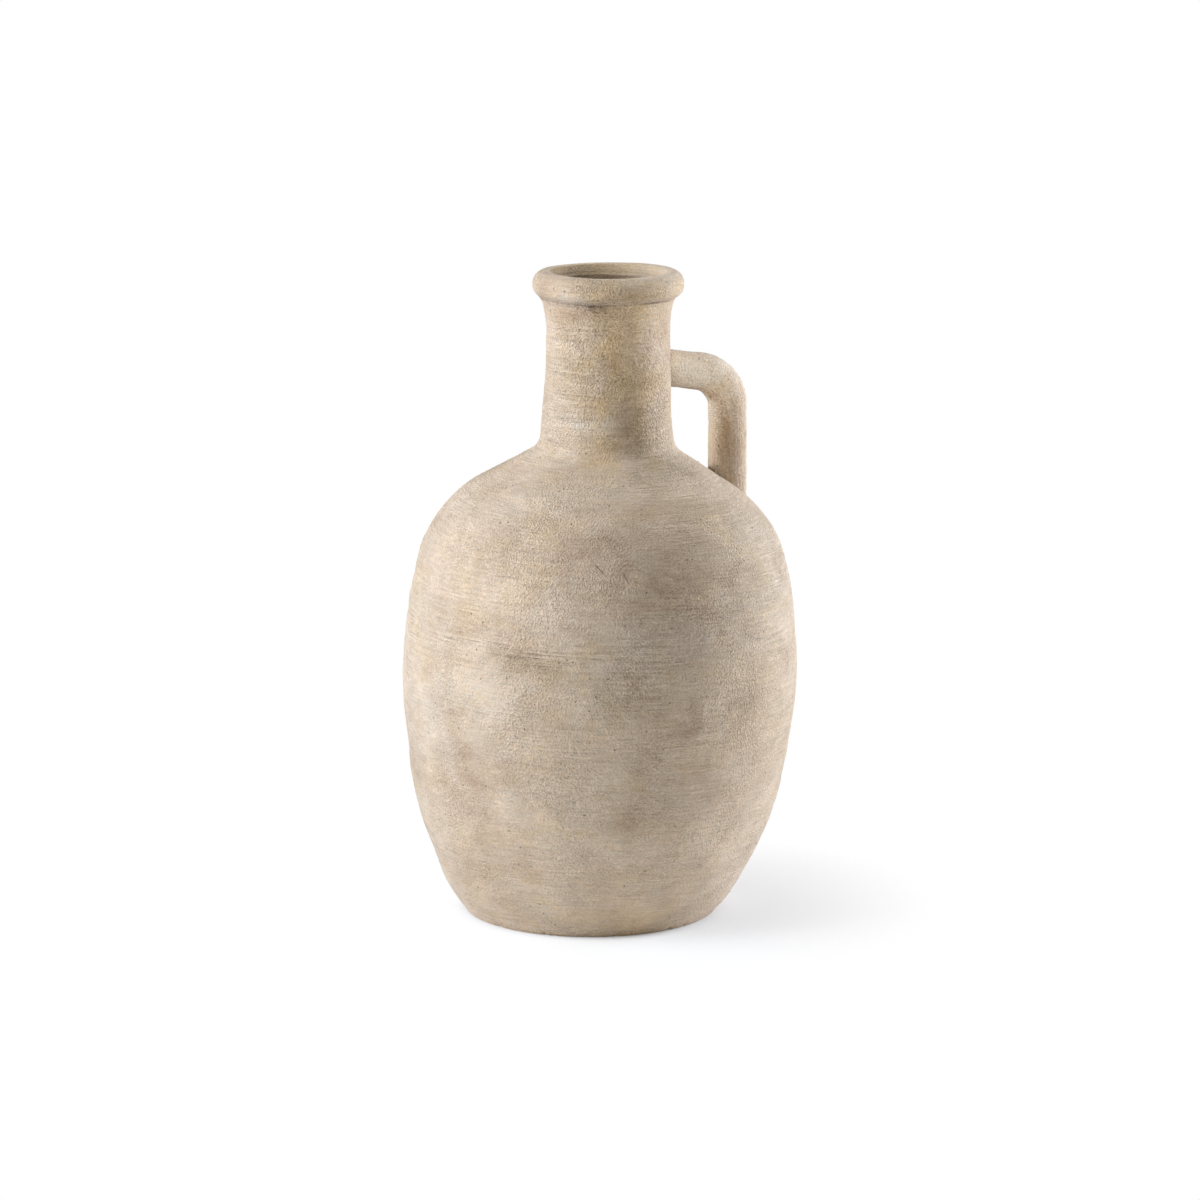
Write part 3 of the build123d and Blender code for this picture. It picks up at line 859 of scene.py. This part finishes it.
# The handle, a bent rod whose ends are cut to the walls
fall = math.tan(ARM_DROP)
arm_start = np.array((WAIST_R, ARM_Z))
corner = np.array((LEG_R, ARM_Z - (LEG_R - WAIST_R) * fall))
leg_way = np.array((math.sin(LEAN), -math.cos(LEAN)))
arm_way = (corner - arm_start) / np.linalg.norm(corner - arm_start)
bend = math.degrees(math.acos(float(arm_way @ leg_way)))
bend_start = corner - arm_way * BEND_R * math.tan(math.radians(bend / 2))
bend_line = np.array([bend_start] + walk(bend_start, arm_way, [(-bend, BEND_R, ROD_ROW)]))
rod_angle = np.arange(ROD_COLUMNS) * 2 * math.pi / ROD_COLUMNS


def leaned(points):
    """Points of the handle's plane moved with the lean of the jug."""
    x = points[..., 0] * math.cos(LEAN) + points[..., 2] * math.sin(LEAN)
    z = points[..., 2] * math.cos(LEAN) - points[..., 0] * math.sin(LEAN)
    return np.stack((x, points[..., 1], z), -1)


def to_wall(ring, way):
    """How far each point of a ring is from the wall, along the way."""
    return np.array([skin_shape.ray_cast(Vector(point), Vector(way))[3] for point in ring * MM]) / MM


bend_ways = np.gradient(bend_line, axis=0)
bend_ways[0], bend_ways[-1] = arm_way, leg_way
bend_rings = []
for centre, way in zip(bend_line, bend_ways):
    outward = np.array((-way[1], 0.0, way[0])) / np.linalg.norm(way)
    ring = np.cos(rod_angle)[:, None] * outward + np.sin(rod_angle)[:, None] * np.array((0.0, 1.0, 0.0))
    bend_rings.append(np.array((centre[0], 0.0, centre[1])) + ring * ROD_R)
bend_rings = leaned(np.array(bend_rings))
arm_back = leaned(np.array((-arm_way[0], 0.0, -arm_way[1])))
leg_down = leaned(np.array((leg_way[0], 0.0, leg_way[1])))
arm_reach = to_wall(bend_rings[0], arm_back) + ROD_BURY
leg_reach = to_wall(bend_rings[-1], leg_down) + ROD_BURY
arm_rows = round(arm_reach.mean() / ROD_ROW)
leg_rows = round(leg_reach.mean() / ROD_ROW)
arm_line = arm_back * arm_reach[:, None]
leg_line = leg_down * leg_reach[:, None]
arm_rings = [bend_rings[0] + arm_line * step / arm_rows for step in range(arm_rows, 0, -1)]
leg_rings = [bend_rings[-1] + leg_line * step / leg_rows for step in range(1, leg_rows + 1)]
rod_grid = np.concatenate((arm_rings, bend_rings, leg_rings))

# What the hand pressed and filled
row_run = np.arange(len(rod_grid)) * ROD_ROW
bend_from = arm_rows * ROD_ROW
bend_to = bend_from + len(bend_rings) * ROD_ROW
lift = NECK_PRESS * (smooth(row_run, 0, bend_from) - 1) - BEND_PRESS * smooth(row_run, bend_from, bend_to)
lift += BEND_PRESS * smooth(row_run, bend_to, bend_to + BEND_EASE)
lift -= FOOT_PRESS * smooth(row_run, row_run[-1] - FOOT_EASE, row_run[-1])
outward = rod_grid[:, 0] - rod_grid.mean(1)
outward /= np.linalg.norm(outward, axis=1)[:, None]
fill = BEND_FILL * swell(row_run, (bend_from + bend_to) / 2, FILL_REACH)
outer_side = np.maximum(0, np.cos(rod_angle)) ** 2
inner_side = np.maximum(0, -np.cos(rod_angle)) ** 2
pressed = lift[:, None] * outer_side - fill[:, None] * inner_side
rod_grid += outward[:, None] * pressed[:, :, None]
rod_points = np.vstack((rod_grid.reshape(-1, 3), rod_grid[0].mean(0), rod_grid[-1].mean(0))) * MM
rod_run = np.append(np.repeat(row_run, ROD_COLUMNS), (0.0, len(rod_grid) * ROD_ROW))
rod_turn = np.append(np.tile(around(rod_angle), len(rod_grid)), (0.0, 0.0))


def from_rod_mark(place, degrees):
    """Distances of the rod's points from a mark: along the rod, and around it."""
    return rod_run - place, around(rod_turn - math.radians(degrees)) * ROD_R


rod_values = masks(ROD_MARKS, rod_points / MM, from_rod_mark)
rod_length = rod_run.max()
# Painted shade where the rod meets the neck, and less where it meets the shoulder
rod_values["shade_and_dirt"] = 0.5 * (1 - smooth(rod_run, 0.5, 2.2))
rod_values["shade_and_dirt"] += 0.3 * smooth(rod_run, rod_length - 2.6, rod_length - 0.6)
rod_values["bare"] = np.zeros(len(rod_points))
rod_values["scratch"] = np.full((len(rod_points), 3), 9.0)
rod_values["brush"] = np.column_stack((rod_run, np.zeros(len(rod_run)), np.abs(rod_turn) * ROD_R)) * MM
rod_values["give"] = np.tile((1.0, 0.4, 1.4), (len(rod_points), 1))
rod_faces = [face[::-1] for face in tube_faces(len(rod_grid), ROD_COLUMNS, False)]
rod = add_mesh("rod", rod_points, rod_faces)
add_values(rod.data, rod_values)
rod_points, rod_normals = points_of(run_tree(rod, clay_tree, HAND))
bpy.data.objects.remove(rod)
del rod_values["give"]
clay_piece("handle_clay", rod_points, rod_normals, rod_values, rod_faces,
           ["handle", "handle_top_slip", "handle_foot_slip"])

# Studio: a white sweep, two soft boxes on the left, a strip on the right, two narrow lamps for the handle
right = Vector((math.cos(VIEW_AZIMUTH), -math.sin(VIEW_AZIMUTH), 0))
back = Vector((math.sin(VIEW_AZIMUTH), math.cos(VIEW_AZIMUTH), 0))
target = right * VIEW_SHIFT * MM + Vector((0, 0, VIEW_HEIGHT * MM))
ahead = back * math.cos(VIEW_ELEVATION) + Vector((0, 0, -math.sin(VIEW_ELEVATION)))

camera = bpy.data.objects.new("camera", bpy.data.cameras.new("camera"))
camera.data.sensor_width = 36.0
camera.data.lens = VIEW_FOCUS_PX * camera.data.sensor_width / IMAGE_PX
camera.location = target - ahead * VIEW_DISTANCE
camera.rotation_euler = ahead.to_track_quat("-Z", "Y").to_euler()
bpy.context.scene.collection.objects.link(camera)
bpy.context.scene.camera = camera


def hang(name, kind, spot, bearing, elevation, distance):
    """A lamp's settings, with the lamp hung so that it faces a spot.

    Bearing is degrees to the right of the camera, seen from the jug.
    """
    bearing, elevation = math.radians(bearing), math.radians(elevation)
    level = right * math.sin(bearing) - back * math.cos(bearing)
    way = level * math.cos(elevation) + Vector((0, 0, math.sin(elevation)))
    lamp = bpy.data.objects.new(name, bpy.data.lights.new(name, kind))
    lamp.location = spot + way * distance
    lamp.rotation_euler = (-way).to_track_quat("-Z", "Y").to_euler()
    bpy.context.scene.collection.objects.link(lamp)
    return lamp.data


def soft_box(name, bearing, elevation, distance, width, height, power):
    """A soft daylight lamp that faces the middle of the jug."""
    lamp = hang(name, "AREA", Vector((0, 0, HEIGHT / 2 * MM)), bearing, elevation, distance)
    lamp.shape = "RECTANGLE"
    lamp.size = width
    lamp.size_y = height
    lamp.energy = power
    lamp.color = DAYLIGHT


def snoot(name, bearing, elevation, spot, cone, power):
    """A narrow soft lamp that lights one spot, given in millimetres to the right, to the back and up."""
    spot = (right * spot[0] + back * spot[1] + Vector((0, 0, spot[2]))) * MM
    lamp = hang(name, "SPOT", spot, bearing, elevation, SNOOT_DISTANCE)
    lamp.spot_size = math.radians(cone)
    lamp.spot_blend = 1.0
    lamp.shadow_soft_size = SNOOT_R
    lamp.energy = power


# Bearing and elevation in degrees, then distance, width and height in metres, and watts
soft_box("key_left", -75, 22, 1.3, 0.9, 1.0, 14.6)
soft_box("top_left", -70, 50, 1.3, 0.9, 0.8, 5.1)
soft_box("strip_right", 112, 10, 1.2, 0.5, 0.8, 16.8)
# Bearing and elevation in degrees, then the spot, the cone in degrees, and watts
snoot("arm_spot", -4, 24, (71, 30, 334), 4.5, 52.0)
snoot("leg_spot", -112, 14, (80, 36, 292), 7.0, 44.0)


def background_rays(tree):
    """1 for the rays that show the background: those of the camera, of gloss and of glass."""
    rays = add_node(tree, "ShaderNodeLightPath").outputs
    seen = rays["Is Camera Ray"]
    for kind in ("Is Glossy Ray", "Is Transmission Ray"):
        seen = add_node(tree, "ShaderNodeMath", {0: seen, 1: rays[kind]}, operation="MAXIMUM").outputs[0]
    return seen


def white_room():
    """White behind everything that the camera sees, and a soft even light on the jug."""
    world = bpy.data.worlds.new("white_room")
    tree = emptied(world)
    seen = background_rays(tree)
    fill = add_node(tree, "ShaderNodeBackground", {
        "Color": (1.04, 0.99, 0.92, 1), "Strength": 0.295}).outputs[0]
    white = add_node(tree, "ShaderNodeBackground", {"Color": (1, 1, 1, 1), "Strength": 1.0}).outputs[0]
    mixed = add_node(tree, "ShaderNodeMixShader", {0: seen, 1: fill, 2: white}).outputs[0]
    add_node(tree, "ShaderNodeOutputWorld", {"Surface": mixed})
    return world


def white_sweep():
    """Matt white paper. Near the jug it keeps the shadow, and further out the camera sees plain white.

    Close to the jug it is a little cool, which evens out the warm light that comes back from the clay.
    """
    material = bpy.data.materials.new("white_sweep")
    tree = emptied(material)
    place = add_node(tree, "ShaderNodeTexCoord").outputs["Object"]
    from_foot = add_node(tree, "ShaderNodeVectorMath", {0: place}, operation="LENGTH").outputs["Value"]
    clear = add_node(tree, "ShaderNodeMapRange", {
        "Value": from_foot, "From Min": FOOT_SHADOW_FULL,
        "From Max": FOOT_SHADOW_END}, interpolation_type="SMOOTHSTEP").outputs[0]
    place = add_node(tree, "ShaderNodeMapping", {
        "Vector": place, "Location": right * SHADOW_RIGHT + back * SHADOW_BACK,
        "Rotation": (0, 0, -VIEW_AZIMUTH), "Scale": SHADOW_HALF}, vector_type="TEXTURE").outputs[0]
    far = add_node(tree, "ShaderNodeVectorMath", {0: place}, operation="LENGTH").outputs["Value"]
    share = add_node(tree, "ShaderNodeMapRange", {
        "Value": far, "From Min": 0.2, "From Max": 0.72, "To Min": 0.3, "To Max": 1.0}).outputs[0]
    share = add_node(tree, "ShaderNodeMath", {0: share, 1: clear}, operation="MULTIPLY").outputs[0]
    seen = background_rays(tree)
    share = add_node(tree, "ShaderNodeMath", {0: share, 1: seen}, operation="MULTIPLY").outputs[0]
    near = add_node(tree, "ShaderNodeMapRange", {
        "Value": from_foot, "From Min": COOL_END, "From Max": COOL_FULL}).outputs[0]
    near = add_node(tree, "ShaderNodeMath", {0: near, 1: seen}, operation="MULTIPLY").outputs[0]
    white = add_node(tree, "ShaderNodeMix", {
        0: near, 6: linear("#F9F9F9"), 7: linear("#EDF4FC")}, data_type="RGBA").outputs[2]
    paper = add_node(tree, "ShaderNodeBsdfDiffuse", {"Color": white}).outputs[0]
    plain = add_node(tree, "ShaderNodeEmission", {"Color": (1, 1, 1, 1), "Strength": 1.0}).outputs[0]
    mixed = add_node(tree, "ShaderNodeMixShader", {0: share, 1: paper, 2: plain}).outputs[0]
    add_node(tree, "ShaderNodeOutputMaterial", {"Surface": mixed})
    return material


bpy.context.scene.world = white_room()
sweep_corners = np.array(((-1, -1, 0), (1, -1, 0), (1, 1, 0), (-1, 1, 0))) * SWEEP_HALF
sweep = add_mesh("floor", sweep_corners, [(0, 1, 2, 3)])
sweep.data.materials.append(white_sweep())

bpy.context.scene.view_settings.view_transform = "Standard"
